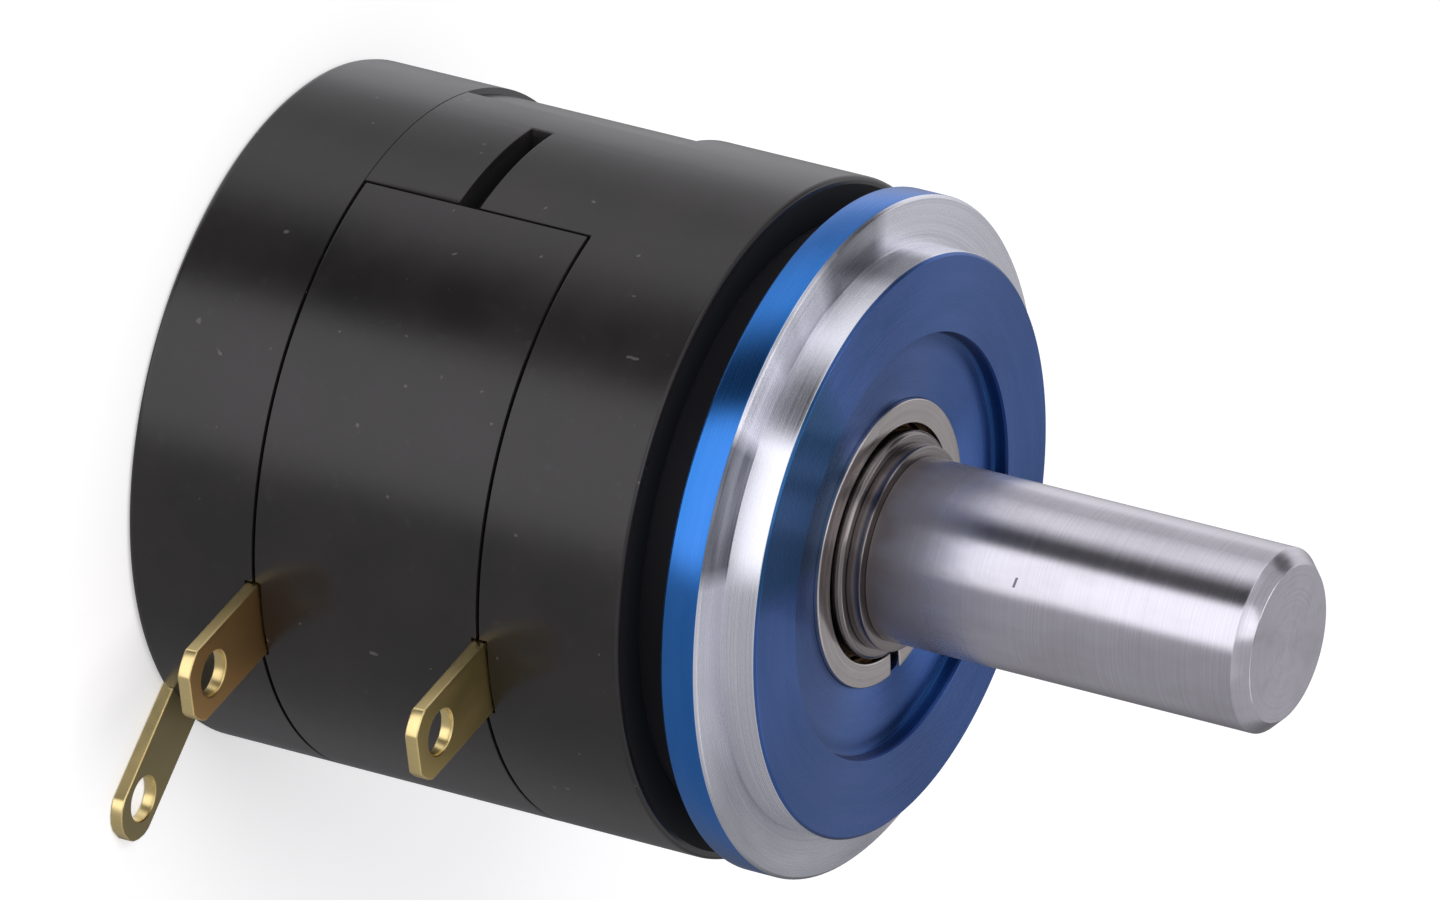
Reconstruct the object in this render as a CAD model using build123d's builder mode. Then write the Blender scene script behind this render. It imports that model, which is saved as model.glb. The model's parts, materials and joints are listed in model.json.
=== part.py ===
from build123d import *
import math
import os

os.makedirs("parts", exist_ok=True)

# A ten-turn servo-mount potentiometer. +Z runs along the shaft towards its tip, and the
# origin is the centre of the mounting shoulder, where the pilot rises from the flange.
# The two end terminals point along -Y. All sizes are in millimetres.

# Clearances
press_gap = 0.01          # radial, between pieces that are pressed or cemented together
running_gap = 0.05        # radial, between pieces that slide on each other
contact_gap = 0.03        # between a moving contact and the track that it wipes
seam_gap = 0.05           # round the side insert and along the joint to the rear cap

# Mounting flange, as wide as the housing
flange_t = 1.3
pilot_d = 19.05
pilot_h = 1.25
groove_w = 1.5
groove_floor_d = 19.2
spigot_len = 2.5
recess_d = 13.9
recess_depth = 0.6
recess_bevel = 0.3
edge_chamfer = 0.1

# Housing
body_d = 22.2
wall = 1.4
neck_to_window = 5.0
rear_cap_len = 4.6
end_wall = 1.45
rim_bevel = 0.3
seam_chamfer = 0.06
lip_t = 0.65
lip_len = 0.7
window_angle = 160.0
label_angle = 132.0
label_depth = 0.2
label_margin = 0.4
slot_angle = 24.5
slot_w = 0.75
slot_depth = 1.0
slot_to_seam = 3.45

# Helical resistance element
turns = 10
lead_turns = 1
pitch = 0.75
element_w = 0.42
element_h = 0.6

# Shaft and bearings
shaft_d = 6.0
shaft_reach = 15.0
tip_chamfer = 0.45
shoulder_d = 7.2
bearing_d = 9.4
bearing_w = 2.1
bearing_front = 0.2
race_t = 0.55
race_clearance = 0.02     # between a ball's true sphere and its raceway
race_facets = 8
ball_d = 1.0
ball_facet_gap = 0.03     # how far a ball's flats stand inside its true sphere
ball_count = 8
cage_t = 0.3
cage_w = 1.3
retainer_t = 0.6
retainer_inner_d = 7.8
retainer_gap = 0.55
retainer_gap_azimuth = -6.0
spacer_d = 7.4
spacer_len = 0.85
clip_d = 6.7
clip_w = 0.5
clip_groove_d = 5.5
clip_gap = 1.2
washer_t = 0.12
washer_rise = 0.3

# Rotor
hub_core_d = 10.0
disc_gap = 0.85           # from the discs' rims to the element
front_disc_t = 1.0
rear_disc_t = 0.75
hub_front_gap = 0.3
rib_t = 1.0
rib_gap = 1.25            # from the ribs' tops to the element
rod_d = 0.9
rod_height = 1.6          # of the rod's axis above the core
slip_ring_t = 0.3
slip_ring_w = 1.8
slip_ring_room = 0.14     # radial, from the bearing boss to the slip ring
hub_nose = 0.2
bearing_boss_t = 0.75
boss_room = 0.15          # between the bearing boss and the slip ring
shaft_setback = 0.2       # how far the shaft stops short of the rear bearing's back
disc_room = 0.3

# Wiper carriage
carriage_w = 3.5
carriage_len = 1.6
carriage_rise = 0.75      # of the carriage above the core
carriage_gap = 0.7        # from the carriage's top to the element
shoe_w = 1.0
prong_t = 0.18
prong_depth = 0.4
notch_rise = 0.25
contact_t = 0.12
contact_w = 0.4
contact_span = 2.3
contact_foot = 0.4
pickoff_w = 2.0
pickoff_t = 0.15
pickoff_lap = 0.3         # of the pick-off plate above its hole

# Terminals
terminal_azimuth = -90.0
lug_t = 0.45
lug_w = 2.7
lug_out = 4.4             # how far the lugs stand out from the housing
lug_corner = 0.65
lug_hole_d = 1.5
lug_hole_inset = 1.4
tongue_w = 1.1
wiper_lug_w = 2.2
wiper_lug_out = 4.8
wiper_lug_corner = 0.85
wiper_lug_azimuth = -60.0
rivet_margin = 1.7        # from the rivet's axis to the bore
rivet_d = 1.0
rivet_head_d = 2.0
rivet_head_t = 0.2
brush_t = 0.15
brush_margin = 0.1        # of the slip ring beside the brush, and of the foot past the rivet
brush_sweep = 40.0
stop_w = 1.6
stop_t = 0.3
stop_shift = 0.1          # from the prong's middle, away from the element

# Stations along the axis
flange_back = -flange_t
body_front = flange_back - groove_w
front_seam = body_front - neck_to_window
rear_seam = front_seam - pitch * (turns + lead_turns)
body_rear = rear_seam - rear_cap_len
cap_floor = body_rear + end_wall
recess_floor = pilot_h - recess_depth
spigot_back = body_front - spigot_len
bearing_back = bearing_front - bearing_w
spacer_front = bearing_front + spacer_len
clip_front = spacer_front + clip_w
hub_front = spigot_back - hub_front_gap
carriage_start = front_seam - pitch * lead_turns / 2
carriage_end = carriage_start - pitch * turns
front_disc_back = carriage_start + carriage_len / 2 + pickoff_t + disc_room
rear_disc_front = carriage_end - carriage_len / 2 - disc_room
hub_back = rear_disc_front - rear_disc_t
slip_ring_back = hub_back - slip_ring_t
rear_bearing_front = hub_back - hub_nose
rear_bearing_back = rear_bearing_front - bearing_w
bearing_pocket_back = rear_bearing_back - washer_rise
shaft_back = rear_bearing_back + shaft_setback
boss_front = slip_ring_back - boss_room

# Radii
body_r = body_d / 2
bore_r = body_r - wall
lip_r = bore_r + lip_t
shaft_r = shaft_d / 2
bearing_r = bearing_d / 2
element_out_r = bore_r - running_gap
element_in_r = element_out_r - element_h
ball_orbit_r = (shaft_r + bearing_r) / 2
bearing_seat_r = bearing_r + press_gap
boss_r = bearing_seat_r + bearing_boss_t
hub_core_r = hub_core_d / 2
hub_disc_r = element_in_r - disc_gap
rib_top = element_in_r - rib_gap
rod_radius = hub_core_r + rod_height
slip_ring_inner_r = boss_r + slip_ring_room
slip_ring_outer_r = slip_ring_inner_r + slip_ring_w
carriage_bottom = hub_core_r + carriage_rise
carriage_top = element_in_r - carriage_gap
lug_reach = body_r + lug_out
wiper_lug_reach = body_r + wiper_lug_out
rivet_radius = bore_r - rivet_margin

window_start = -90 - window_angle / 2
label_start = 90 - label_angle / 2
lug_slot_w = lug_w + 2 * running_gap
lug_slot_t = lug_t + 2 * running_gap


def half_plane(azimuth):
    """The plane through the axis whose local x points outwards at this azimuth."""
    c = math.cos(math.radians(azimuth))
    s = math.sin(math.radians(azimuth))
    return Plane(origin=(0, 0, 0), x_dir=(c, s, 0), z_dir=(s, -c, 0))


def block(x_size, y_low, y_high, z_low, z_high):
    """A slab centred on x = 0 between two y and two z values, added by the caller's mode."""
    return Pos(0, (y_low + y_high) / 2, (z_low + z_high) / 2) * Box(
        x_size, y_high - y_low, z_high - z_low, mode=Mode.PRIVATE
    )


def finish(piece, name):
    """Label one finished piece and write it as its own file."""
    piece.label = name
    export_step(piece, f"parts/{name}.step")


# Mounting flange: pilot, shoulder, cleat groove and the spigot that enters the housing
shoulder_bore_r = bearing_r - race_t - running_gap
with BuildPart() as mounting_flange:
    with BuildSketch(Plane.XZ):
        with BuildLine():
            Polyline(
                (bearing_seat_r, recess_floor),
                (recess_d / 2, recess_floor),
                (recess_d / 2, pilot_h),
                (pilot_d / 2, pilot_h),
                (pilot_d / 2, 0),
                (body_r, 0),
                (body_r, flange_back),
                (groove_floor_d / 2, flange_back),
                (groove_floor_d / 2, body_front),
                (bore_r - press_gap, body_front),
                (bore_r - press_gap, spigot_back),
                (shoulder_bore_r, spigot_back),
                (shoulder_bore_r, bearing_back),
                (bearing_seat_r, bearing_back),
                close=True,
            )
        make_face()
    revolve(axis=Axis.Z)
    rims = mounting_flange.edges().filter_by(GeomType.CIRCLE)
    floor_rim = rims.filter_by(lambda e: abs(e.radius - recess_d / 2) < 1e-4).sort_by(Axis.Z)[0]
    chamfer(floor_rim, recess_bevel)
    rims = mounting_flange.edges().filter_by(GeomType.CIRCLE)
    flange_rims = rims.filter_by(lambda e: abs(e.radius - body_r) < 1e-4)
    pilot_rim = rims.filter_by(lambda e: abs(e.radius - pilot_d / 2) < 1e-4).sort_by(Axis.Z)[-1]
    chamfer([*flange_rims, pilot_rim], edge_chamfer)
finish(mounting_flange.part, "mounting_flange")

# Front housing: a tube with a window in its side, a relief slot and a sunk label panel
with BuildPart() as front_housing:
    with BuildSketch(Plane.XZ):
        with BuildLine():
            Polyline(
                (bore_r, body_front),
                (body_r, body_front),
                (body_r, rear_seam),
                (lip_r + running_gap, rear_seam),
                (lip_r + running_gap, rear_seam + lip_len + running_gap),
                (bore_r, rear_seam + lip_len + running_gap),
                close=True,
            )
        make_face()
    revolve(axis=Axis.Z)
    rims = front_housing.edges().filter_by(GeomType.CIRCLE)
    outer_rims = rims.filter_by(lambda e: abs(e.radius - body_r) < 1e-4).sort_by(Axis.Z)
    chamfer(outer_rims[-1], edge_chamfer)
    chamfer(outer_rims[0], seam_chamfer)
    with BuildSketch(half_plane(window_start)):
        with BuildLine():
            Polyline(
                (bore_r - wall, front_seam),
                (body_r + wall, front_seam),
                (body_r + wall, rear_seam - wall),
                (bore_r - wall, rear_seam - wall),
                close=True,
            )
        make_face()
    revolve(axis=Axis.Z, revolution_arc=window_angle, mode=Mode.SUBTRACT)
    with BuildSketch(half_plane(window_start - slot_angle)):
        with Locations((body_r, rear_seam + slot_to_seam + slot_w / 2)):
            Rectangle(2 * slot_depth, slot_w)
    revolve(axis=Axis.Z, revolution_arc=slot_angle + 1, mode=Mode.SUBTRACT)
    with BuildSketch(half_plane(label_start)):
        with BuildLine():
            Polyline(
                (body_r - label_depth, front_seam - label_margin),
                (body_r + wall, front_seam - label_margin),
                (body_r + wall, rear_seam - wall),
                (body_r - label_depth, rear_seam - wall),
                close=True,
            )
        make_face()
    revolve(axis=Axis.Z, revolution_arc=label_angle, mode=Mode.SUBTRACT)
    add(
        block(lug_slot_w, -body_r - wall, -bore_r + wall, front_seam - wall, front_seam + lug_slot_t / 2),
        mode=Mode.SUBTRACT,
    )
finish(front_housing.part, "front_housing")

# Side insert: the curved shell that closes the window over the element's two ends
insert_trim = math.degrees(seam_gap / body_r)
with BuildPart() as side_insert:
    with BuildSketch(half_plane(window_start + insert_trim)):
        with BuildLine():
            Polyline(
                (bore_r, front_seam - seam_gap),
                (body_r, front_seam - seam_gap),
                (body_r, rear_seam + seam_gap),
                (lip_r + running_gap, rear_seam + seam_gap),
                (lip_r + running_gap, rear_seam + lip_len + running_gap),
                (bore_r, rear_seam + lip_len + running_gap),
                close=True,
            )
        make_face()
    revolve(axis=Axis.Z, revolution_arc=window_angle - 2 * insert_trim)
    skin = side_insert.faces().filter_by(lambda f: f.geom_type == GeomType.CYLINDER)
    outer_skin = skin.sort_by(lambda f: (f.center() - Vector(0, 0, f.center().Z)).length)[-1]
    chamfer(outer_skin.edges(), seam_chamfer)
    for seam, side in ((front_seam, -1), (rear_seam, 1)):
        low, high = sorted((seam - side * wall, seam + side * lug_slot_t / 2))
        add(
            block(lug_slot_w, -body_r - wall, -bore_r + wall, low, high),
            mode=Mode.SUBTRACT,
        )
finish(side_insert.part, "side_insert")

# Rear cap: cup with a lip that enters the housing and a pocket for the rear bearing
wiper_lug_plane = half_plane(wiper_lug_azimuth)
wiper_direction = wiper_lug_plane.x_dir
with BuildPart() as rear_cap:
    with BuildSketch(Plane.XZ):
        with BuildLine():
            Polyline(
                (0, body_rear),
                (body_r, body_rear),
                (body_r, rear_seam),
                (lip_r, rear_seam),
                (lip_r, rear_seam + lip_len),
                (bore_r, rear_seam + lip_len),
                (bore_r, cap_floor),
                (boss_r, cap_floor),
                (boss_r, boss_front),
                (bearing_seat_r, boss_front),
                (bearing_seat_r, bearing_pocket_back),
                (0, bearing_pocket_back),
                close=True,
            )
        make_face()
    revolve(axis=Axis.Z)
    rims = rear_cap.edges().filter_by(GeomType.CIRCLE)
    outer_rims = rims.filter_by(lambda e: abs(e.radius - body_r) < 1e-4).sort_by(Axis.Z)
    chamfer(outer_rims[0], rim_bevel)
    chamfer(outer_rims[-1], seam_chamfer)
    add(
        block(lug_slot_w, -body_r - wall, -bore_r + wall, rear_seam - lug_slot_t / 2, rear_seam + wall),
        mode=Mode.SUBTRACT,
    )
    channel_w = wiper_lug_w + 2 * running_gap
    channel_end = rivet_radius - channel_w / 2
    with BuildSketch(Plane.XY.offset(body_rear)):
        with Locations(Location((0, 0, 0), (0, 0, wiper_lug_azimuth))):
            with Locations((channel_end + body_r / 2, 0)):
                Rectangle(body_r, channel_w)
    extrude(amount=lug_t, mode=Mode.SUBTRACT)
    with BuildSketch(Plane.XY.offset(body_rear)):
        with Locations(wiper_direction * rivet_radius):
            Circle(rivet_d / 2 + press_gap)
    extrude(amount=end_wall, mode=Mode.SUBTRACT)
finish(rear_cap.part, "rear_cap")

# End terminals: stamped lugs in the two seams, each with a tongue welded to the element
for name, seam, side in (("ccw_terminal", front_seam, 1), ("cw_terminal", rear_seam, -1)):
    with BuildPart() as end_terminal:
        with BuildSketch(Plane.XY.offset(seam)):
            with BuildLine():
                Polyline(
                    (-lug_w / 2, -bore_r),
                    (lug_w / 2, -bore_r),
                    (lug_w / 2, -lug_reach + lug_corner),
                    (lug_w / 2 - lug_corner, -lug_reach),
                    (-lug_w / 2 + lug_corner, -lug_reach),
                    (-lug_w / 2, -lug_reach + lug_corner),
                    close=True,
                )
            make_face()
            with Locations((side * (tongue_w / 2 + contact_gap), -(bore_r + element_in_r) / 2)):
                Rectangle(tongue_w, bore_r - element_in_r)
            with Locations((0, -lug_reach + lug_hole_inset)):
                Circle(lug_hole_d / 2, mode=Mode.SUBTRACT)
        extrude(amount=lug_t / 2, both=True)
    finish(end_terminal.part, name)

# Wiper terminal: a slimmer lug let into the rear face and riveted at its inner end
with BuildPart() as wiper_terminal:
    with BuildSketch(Plane.XY.offset(body_rear)):
        with Locations(Location((0, 0, 0), (0, 0, wiper_lug_azimuth))):
            blade_len = wiper_lug_reach - rivet_radius
            with Locations((rivet_radius + blade_len / 2, 0)):
                Rectangle(blade_len, wiper_lug_w)
            with Locations((rivet_radius, 0)):
                Circle(wiper_lug_w / 2)
                Circle(rivet_d / 2 + press_gap, mode=Mode.SUBTRACT)
            with Locations((wiper_lug_reach - lug_hole_inset, 0)):
                Circle(lug_hole_d / 2, mode=Mode.SUBTRACT)
    extrude(amount=lug_t)
    tip_edges = wiper_terminal.edges().filter_by(Axis.Z)
    tip_edges = tip_edges.sort_by(lambda e: e.center().dot(wiper_direction))[-2:]
    chamfer(tip_edges, wiper_lug_corner)
finish(wiper_terminal.part, "wiper_terminal")

# Rivet that joins the wiper terminal to the brush through the end wall
brush_top = cap_floor + brush_t
with BuildPart() as terminal_rivet:
    with BuildSketch(Plane.XY.offset(body_rear)):
        with Locations(wiper_direction * rivet_radius):
            Circle(rivet_d / 2)
    extrude(amount=brush_top - body_rear)
    with BuildSketch(Plane.XY.offset(brush_top)):
        with Locations(wiper_direction * rivet_radius):
            Circle(rivet_head_d / 2)
    extrude(amount=rivet_head_t)
finish(terminal_rivet.part, "terminal_rivet")

# Brush: a leaf spring from the rivet up to the slip ring's face
brush_root = wiper_direction * rivet_radius
track_r = (slip_ring_inner_r + slip_ring_outer_r) / 2
brush_tip = half_plane(wiper_lug_azimuth + brush_sweep).x_dir * track_r
brush_run = brush_tip - brush_root
brush_plane = Plane(origin=brush_root, x_dir=brush_run, z_dir=brush_run.cross(Vector(0, 0, 1)))
brush_foot = rivet_head_d / 2 + brush_margin
brush_w = slip_ring_w - 2 * brush_margin
brush_low = cap_floor + brush_t / 2
brush_high = slip_ring_back - contact_gap - brush_t / 2
with BuildPart() as slip_ring_brush:
    with BuildSketch(brush_plane):
        with BuildLine():
            foot = Line((-brush_foot, brush_low), (brush_foot, brush_low))
            rise_end = (brush_run.length, brush_high)
            arm = TangentArc(foot @ 1, rise_end, tangent=foot % 1)
        trace(line_width=brush_t)
    extrude(amount=brush_w / 2, both=True)
    with Locations(Location(brush_root + Vector(0, 0, cap_floor))):
        Cylinder(rivet_d / 2 + press_gap, end_wall, mode=Mode.SUBTRACT)
finish(slip_ring_brush.part, "slip_ring_brush")

# Helical element: the mandrel wound with resistance wire, coiled against the bore
element_r = (element_out_r + element_in_r) / 2
with BuildPart() as resistance_element:
    with BuildLine(Plane.XY.offset(rear_seam)):
        coil = Helix(pitch, pitch * (turns + lead_turns), element_r)
    with BuildSketch(Plane(origin=coil @ 0, x_dir=(1, 0, 0), z_dir=coil % 0)):
        Rectangle(element_h, element_w)
    sweep(path=coil, is_frenet=True)
finish(resistance_element.part.rotate(Axis.Z, terminal_azimuth), "resistance_element")

# Travel stops: one block ahead of the carriage at each end of its run
stop_mid_r = element_in_r + element_h / 2
stop_turn = math.degrees((shoe_w / 2 + contact_gap + stop_w / 2) / element_in_r)
prong_offset = pitch / 2
with BuildPart() as travel_stops:
    for azimuth, station in (
        (90 + stop_turn, carriage_start + prong_offset + stop_shift),
        (90 - stop_turn, carriage_end - prong_offset - stop_shift),
    ):
        direction = half_plane(azimuth).x_dir
        with Locations(Location(direction * stop_mid_r + Vector(0, 0, station), (0, 0, azimuth))):
            Box(element_h, stop_w, stop_t)
    bore_core = Cylinder(element_out_r, body_d * 2, mode=Mode.PRIVATE)
    add(bore_core, mode=Mode.INTERSECT)
finish(travel_stops.part, "travel_stops")

# Shaft, with the shoulder behind the front bearing and the clip groove before it
with BuildPart() as shaft:
    with BuildSketch(Plane.XZ):
        with BuildLine():
            Polyline(
                (0, shaft_reach),
                (shaft_r - tip_chamfer, shaft_reach),
                (shaft_r, shaft_reach - tip_chamfer),
                (shaft_r, clip_front),
                (clip_groove_d / 2, clip_front),
                (clip_groove_d / 2, spacer_front),
                (shaft_r, spacer_front),
                (shaft_r, bearing_back),
                (shoulder_d / 2, bearing_back),
                (shoulder_d / 2, hub_front),
                (shaft_r, hub_front),
                (shaft_r, shaft_back),
                (0, shaft_back),
                close=True,
            )
        make_face()
    revolve(axis=Axis.Z)
finish(shaft.part, "shaft")

# Split ring that holds the front bearing in the flange, a little proud of the recess
with BuildPart() as retaining_ring:
    with BuildSketch(Plane.XY.offset(bearing_front)):
        Circle(bearing_r)
        Circle(retainer_inner_d / 2, mode=Mode.SUBTRACT)
        with Locations(Location((0, 0, 0), (0, 0, retainer_gap_azimuth))):
            with Locations((bearing_r, 0)):
                Rectangle(bearing_r, retainer_gap, mode=Mode.SUBTRACT)
    extrude(amount=retainer_t)
    fillet(retaining_ring.edges().filter_by(Axis.Z), retainer_gap / 4)
finish(retaining_ring.part, "retaining_ring")

# Spacer between the bearing and the clip, visible round the foot of the shaft
with BuildPart() as front_spacer:
    with BuildSketch(Plane.XY.offset(bearing_front)):
        Circle(spacer_d / 2)
        Circle(shaft_r + press_gap, mode=Mode.SUBTRACT)
    extrude(amount=spacer_len)
    spacer_rims = front_spacer.edges().filter_by(GeomType.CIRCLE).sort_by(Axis.Z)[-2:]
    chamfer(spacer_rims.sort_by(lambda e: e.radius)[-1], edge_chamfer)
finish(front_spacer.part, "front_spacer")

# Clip in the shaft's groove
with BuildPart() as shaft_clip:
    with BuildSketch(Plane.XY.offset(spacer_front)):
        Circle(clip_d / 2)
        Circle(clip_groove_d / 2 + press_gap, mode=Mode.SUBTRACT)
        with Locations((0, clip_d / 2)):
            Rectangle(clip_gap, clip_d / 2, mode=Mode.SUBTRACT)
    extrude(amount=clip_w)
finish(shaft_clip.part, "shaft_clip")

# Ball bearings: two rings, a set of balls and a cage at each end of the rotor. Each ball is
# a cube with its edges cut back to a twenty-six-sided solid, round enough at this size.
race_r = ball_d / 2 + race_clearance
ball_flats = ball_d - 2 * ball_facet_gap
ball_bevel = ball_flats * (1 - math.sqrt(0.5))
pocket = ball_d + 2 * running_gap
for end, top in (("front", bearing_front), ("rear", rear_bearing_front)):
    middle = top - bearing_w / 2
    for ring, r_in, r_out in (
        ("inner", shaft_r + press_gap, shaft_r + race_t),
        ("outer", bearing_r - race_t, bearing_r),
    ):
        with BuildPart() as race:
            with BuildSketch(Plane.XZ):
                with Locations(((r_in + r_out) / 2, middle)):
                    Rectangle(r_out - r_in, bearing_w)
                with Locations((ball_orbit_r, middle)):
                    RegularPolygon(race_r, race_facets, major_radius=False, mode=Mode.SUBTRACT)
            revolve(axis=Axis.Z)
        finish(race.part, f"{end}_{ring}_ring")
    with BuildPart() as balls:
        with Locations((0, 0, middle)):
            with PolarLocations(ball_orbit_r, ball_count):
                Box(ball_flats, ball_flats, ball_flats)
        chamfer(balls.edges(), ball_bevel)
    finish(balls.part, f"{end}_balls")
    with BuildPart() as cage:
        with BuildSketch(Plane.XY.offset(middle)):
            Circle(ball_orbit_r + cage_t / 2)
            Circle(ball_orbit_r - cage_t / 2, mode=Mode.SUBTRACT)
        extrude(amount=cage_w / 2, both=True)
        with Locations((0, 0, middle)):
            with PolarLocations(ball_orbit_r, ball_count):
                Box(3 * cage_t, pocket, pocket, mode=Mode.SUBTRACT)
    finish(cage.part, f"{end}_cage")

# Dished washer that preloads the rear bearing against the pocket's floor
washer_outer = bearing_r - running_gap
washer_inner = bearing_r - race_t
with BuildPart() as preload_washer:
    with BuildSketch(Plane.XZ):
        with BuildLine():
            Polyline(
                (washer_inner, bearing_pocket_back),
                (washer_inner, bearing_pocket_back + washer_t),
                (washer_outer, rear_bearing_back),
                (washer_outer, rear_bearing_back - washer_t),
                close=True,
            )
        make_face()
    revolve(axis=Axis.Z)
finish(preload_washer.part, "preload_washer")

# Rotor hub: a spool on the shaft, with two ribs that guide the carriage along it
rib_inner = carriage_w / 2 + running_gap
rib_root = hub_core_r / 2
with BuildPart() as rotor_hub:
    with BuildSketch(Plane.XZ):
        with BuildLine():
            Polyline(
                (shaft_r + press_gap, hub_front),
                (hub_core_r, hub_front),
                (hub_core_r, front_disc_back + front_disc_t),
                (hub_disc_r, front_disc_back + front_disc_t),
                (hub_disc_r, front_disc_back),
                (hub_core_r, front_disc_back),
                (hub_core_r, rear_disc_front),
                (hub_disc_r, rear_disc_front),
                (hub_disc_r, hub_back),
                (shaft_r + race_t, hub_back),
                (shaft_r + race_t, rear_bearing_front),
                (shaft_r + press_gap, rear_bearing_front),
                close=True,
            )
        make_face()
    revolve(axis=Axis.Z)
    with BuildSketch(Plane.XY.offset(rear_disc_front)):
        for side in (-1, 1):
            with Locations((side * (rib_inner + rib_t / 2), (rib_root + rib_top) / 2)):
                Rectangle(rib_t, rib_top - rib_root)
    extrude(amount=front_disc_back - rear_disc_front)
    with Locations((0, rod_radius, (hub_front + hub_back) / 2)):
        Cylinder(rod_d / 2 + press_gap, hub_front - hub_back, mode=Mode.SUBTRACT)
finish(rotor_hub.part, "rotor_hub")

# Slip ring on the hub's rear face
with BuildPart() as slip_ring:
    with BuildSketch(Plane.XY.offset(slip_ring_back)):
        Circle(slip_ring_outer_r)
        Circle(slip_ring_inner_r, mode=Mode.SUBTRACT)
    extrude(amount=slip_ring_t)
finish(slip_ring.part, "slip_ring")

# Collector rod: carries the wiper's current to the slip ring and guides the carriage
with BuildPart() as collector_rod:
    with BuildSketch(Plane.XY.offset(hub_back)):
        with Locations((0, rod_radius)):
            Circle(rod_d / 2)
    extrude(amount=front_disc_back + front_disc_t - hub_back)
finish(collector_rod.part, "collector_rod")

# Wiper carriage: slides between the ribs, and its two prongs straddle one turn
prong_top = element_in_r + prong_depth
prong_reach = prong_offset + prong_t / 2
notch_floor = carriage_top + notch_rise
with BuildPart() as wiper_carriage:
    with BuildSketch(Plane.XY.offset(carriage_start)):
        with Locations((0, (carriage_bottom + carriage_top) / 2)):
            Rectangle(carriage_w, carriage_top - carriage_bottom)
    extrude(amount=carriage_len / 2, both=True)
    with BuildSketch(Plane.XY.offset(carriage_start)):
        with Locations((0, (carriage_top + prong_top) / 2)):
            Rectangle(shoe_w, prong_top - carriage_top)
    extrude(amount=prong_reach, both=True)
    with BuildSketch(Plane.XY.offset(carriage_start)):
        with Locations((0, (notch_floor + prong_top) / 2)):
            Rectangle(2 * shoe_w, prong_top - notch_floor)
    extrude(amount=prong_offset - prong_t / 2, both=True, mode=Mode.SUBTRACT)
    with Locations((0, rod_radius, carriage_start)):
        Cylinder(rod_d / 2 + running_gap, 2 * carriage_len, mode=Mode.SUBTRACT)
finish(wiper_carriage.part, "wiper_carriage")

# Wiper contact: an arched leaf through the carriage's notch, against the element
contact_low = carriage_top + contact_t / 2
contact_high = element_in_r - contact_gap - contact_t / 2
with BuildPart() as wiper_contact:
    with BuildSketch(Plane.XY.offset(carriage_start)):
        with BuildLine():
            left = (-contact_span / 2, contact_low)
            right = (contact_span / 2, contact_low)
            Line((-contact_span / 2 - contact_foot, contact_low), left)
            ThreePointArc(left, (0, contact_high), right)
            Line(right, (contact_span / 2 + contact_foot, contact_low))
        trace(line_width=contact_t)
    extrude(amount=contact_w / 2, both=True)
finish(wiper_contact.part, "wiper_contact")

# Pick-off plate on the carriage's front face, wiping the collector rod
pickoff_back = carriage_start + carriage_len / 2
pickoff_hole_r = rod_d / 2 + contact_gap
pickoff_h = rod_radius + pickoff_hole_r + pickoff_lap - carriage_bottom
with BuildPart() as pickoff_spring:
    with BuildSketch(Plane.XY.offset(pickoff_back)):
        with Locations((0, carriage_bottom + pickoff_h / 2)):
            RectangleRounded(pickoff_w, pickoff_h, pickoff_t)
        with Locations((0, rod_radius)):
            Circle(pickoff_hole_r, mode=Mode.SUBTRACT)
    extrude(amount=pickoff_t)
finish(pickoff_spring.part, "pickoff_spring")
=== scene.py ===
# %% [markdown]
# # A ten-turn potentiometer, dressed for a photograph
#
# The packed model gives every piece at its real size. This lesson puts a finish on each of
# them. Pieces that show are modelled again as smooth, bevelled meshes, because a packed mesh
# is made of flat facets that a glossy surface would give away. Pieces that are hidden inside
# keep their own mesh and only get a material.

# %% Load the frame
import json
import math

import bmesh
import bpy
from mathutils import Matrix, Vector


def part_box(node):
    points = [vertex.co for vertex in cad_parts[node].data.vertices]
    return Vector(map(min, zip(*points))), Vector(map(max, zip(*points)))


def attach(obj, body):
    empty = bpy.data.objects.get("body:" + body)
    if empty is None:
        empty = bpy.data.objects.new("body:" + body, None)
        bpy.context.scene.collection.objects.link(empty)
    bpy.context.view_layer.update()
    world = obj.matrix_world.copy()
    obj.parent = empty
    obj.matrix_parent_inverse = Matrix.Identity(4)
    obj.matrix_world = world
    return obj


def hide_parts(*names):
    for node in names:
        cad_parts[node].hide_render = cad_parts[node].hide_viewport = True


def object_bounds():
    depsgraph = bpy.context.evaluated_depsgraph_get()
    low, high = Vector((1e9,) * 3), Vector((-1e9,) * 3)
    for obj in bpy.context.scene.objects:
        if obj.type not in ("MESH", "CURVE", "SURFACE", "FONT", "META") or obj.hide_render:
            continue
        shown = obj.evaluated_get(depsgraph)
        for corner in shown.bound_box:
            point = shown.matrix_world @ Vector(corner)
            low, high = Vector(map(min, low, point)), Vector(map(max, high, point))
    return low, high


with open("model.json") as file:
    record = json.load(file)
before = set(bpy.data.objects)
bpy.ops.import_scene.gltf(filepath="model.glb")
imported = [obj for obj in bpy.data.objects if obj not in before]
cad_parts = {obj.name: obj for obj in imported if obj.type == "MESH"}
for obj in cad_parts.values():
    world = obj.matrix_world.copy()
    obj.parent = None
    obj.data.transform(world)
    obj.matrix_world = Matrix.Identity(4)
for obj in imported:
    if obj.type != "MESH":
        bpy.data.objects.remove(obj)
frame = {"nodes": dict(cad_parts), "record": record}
CAD_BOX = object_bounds()
MM = 0.001

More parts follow.
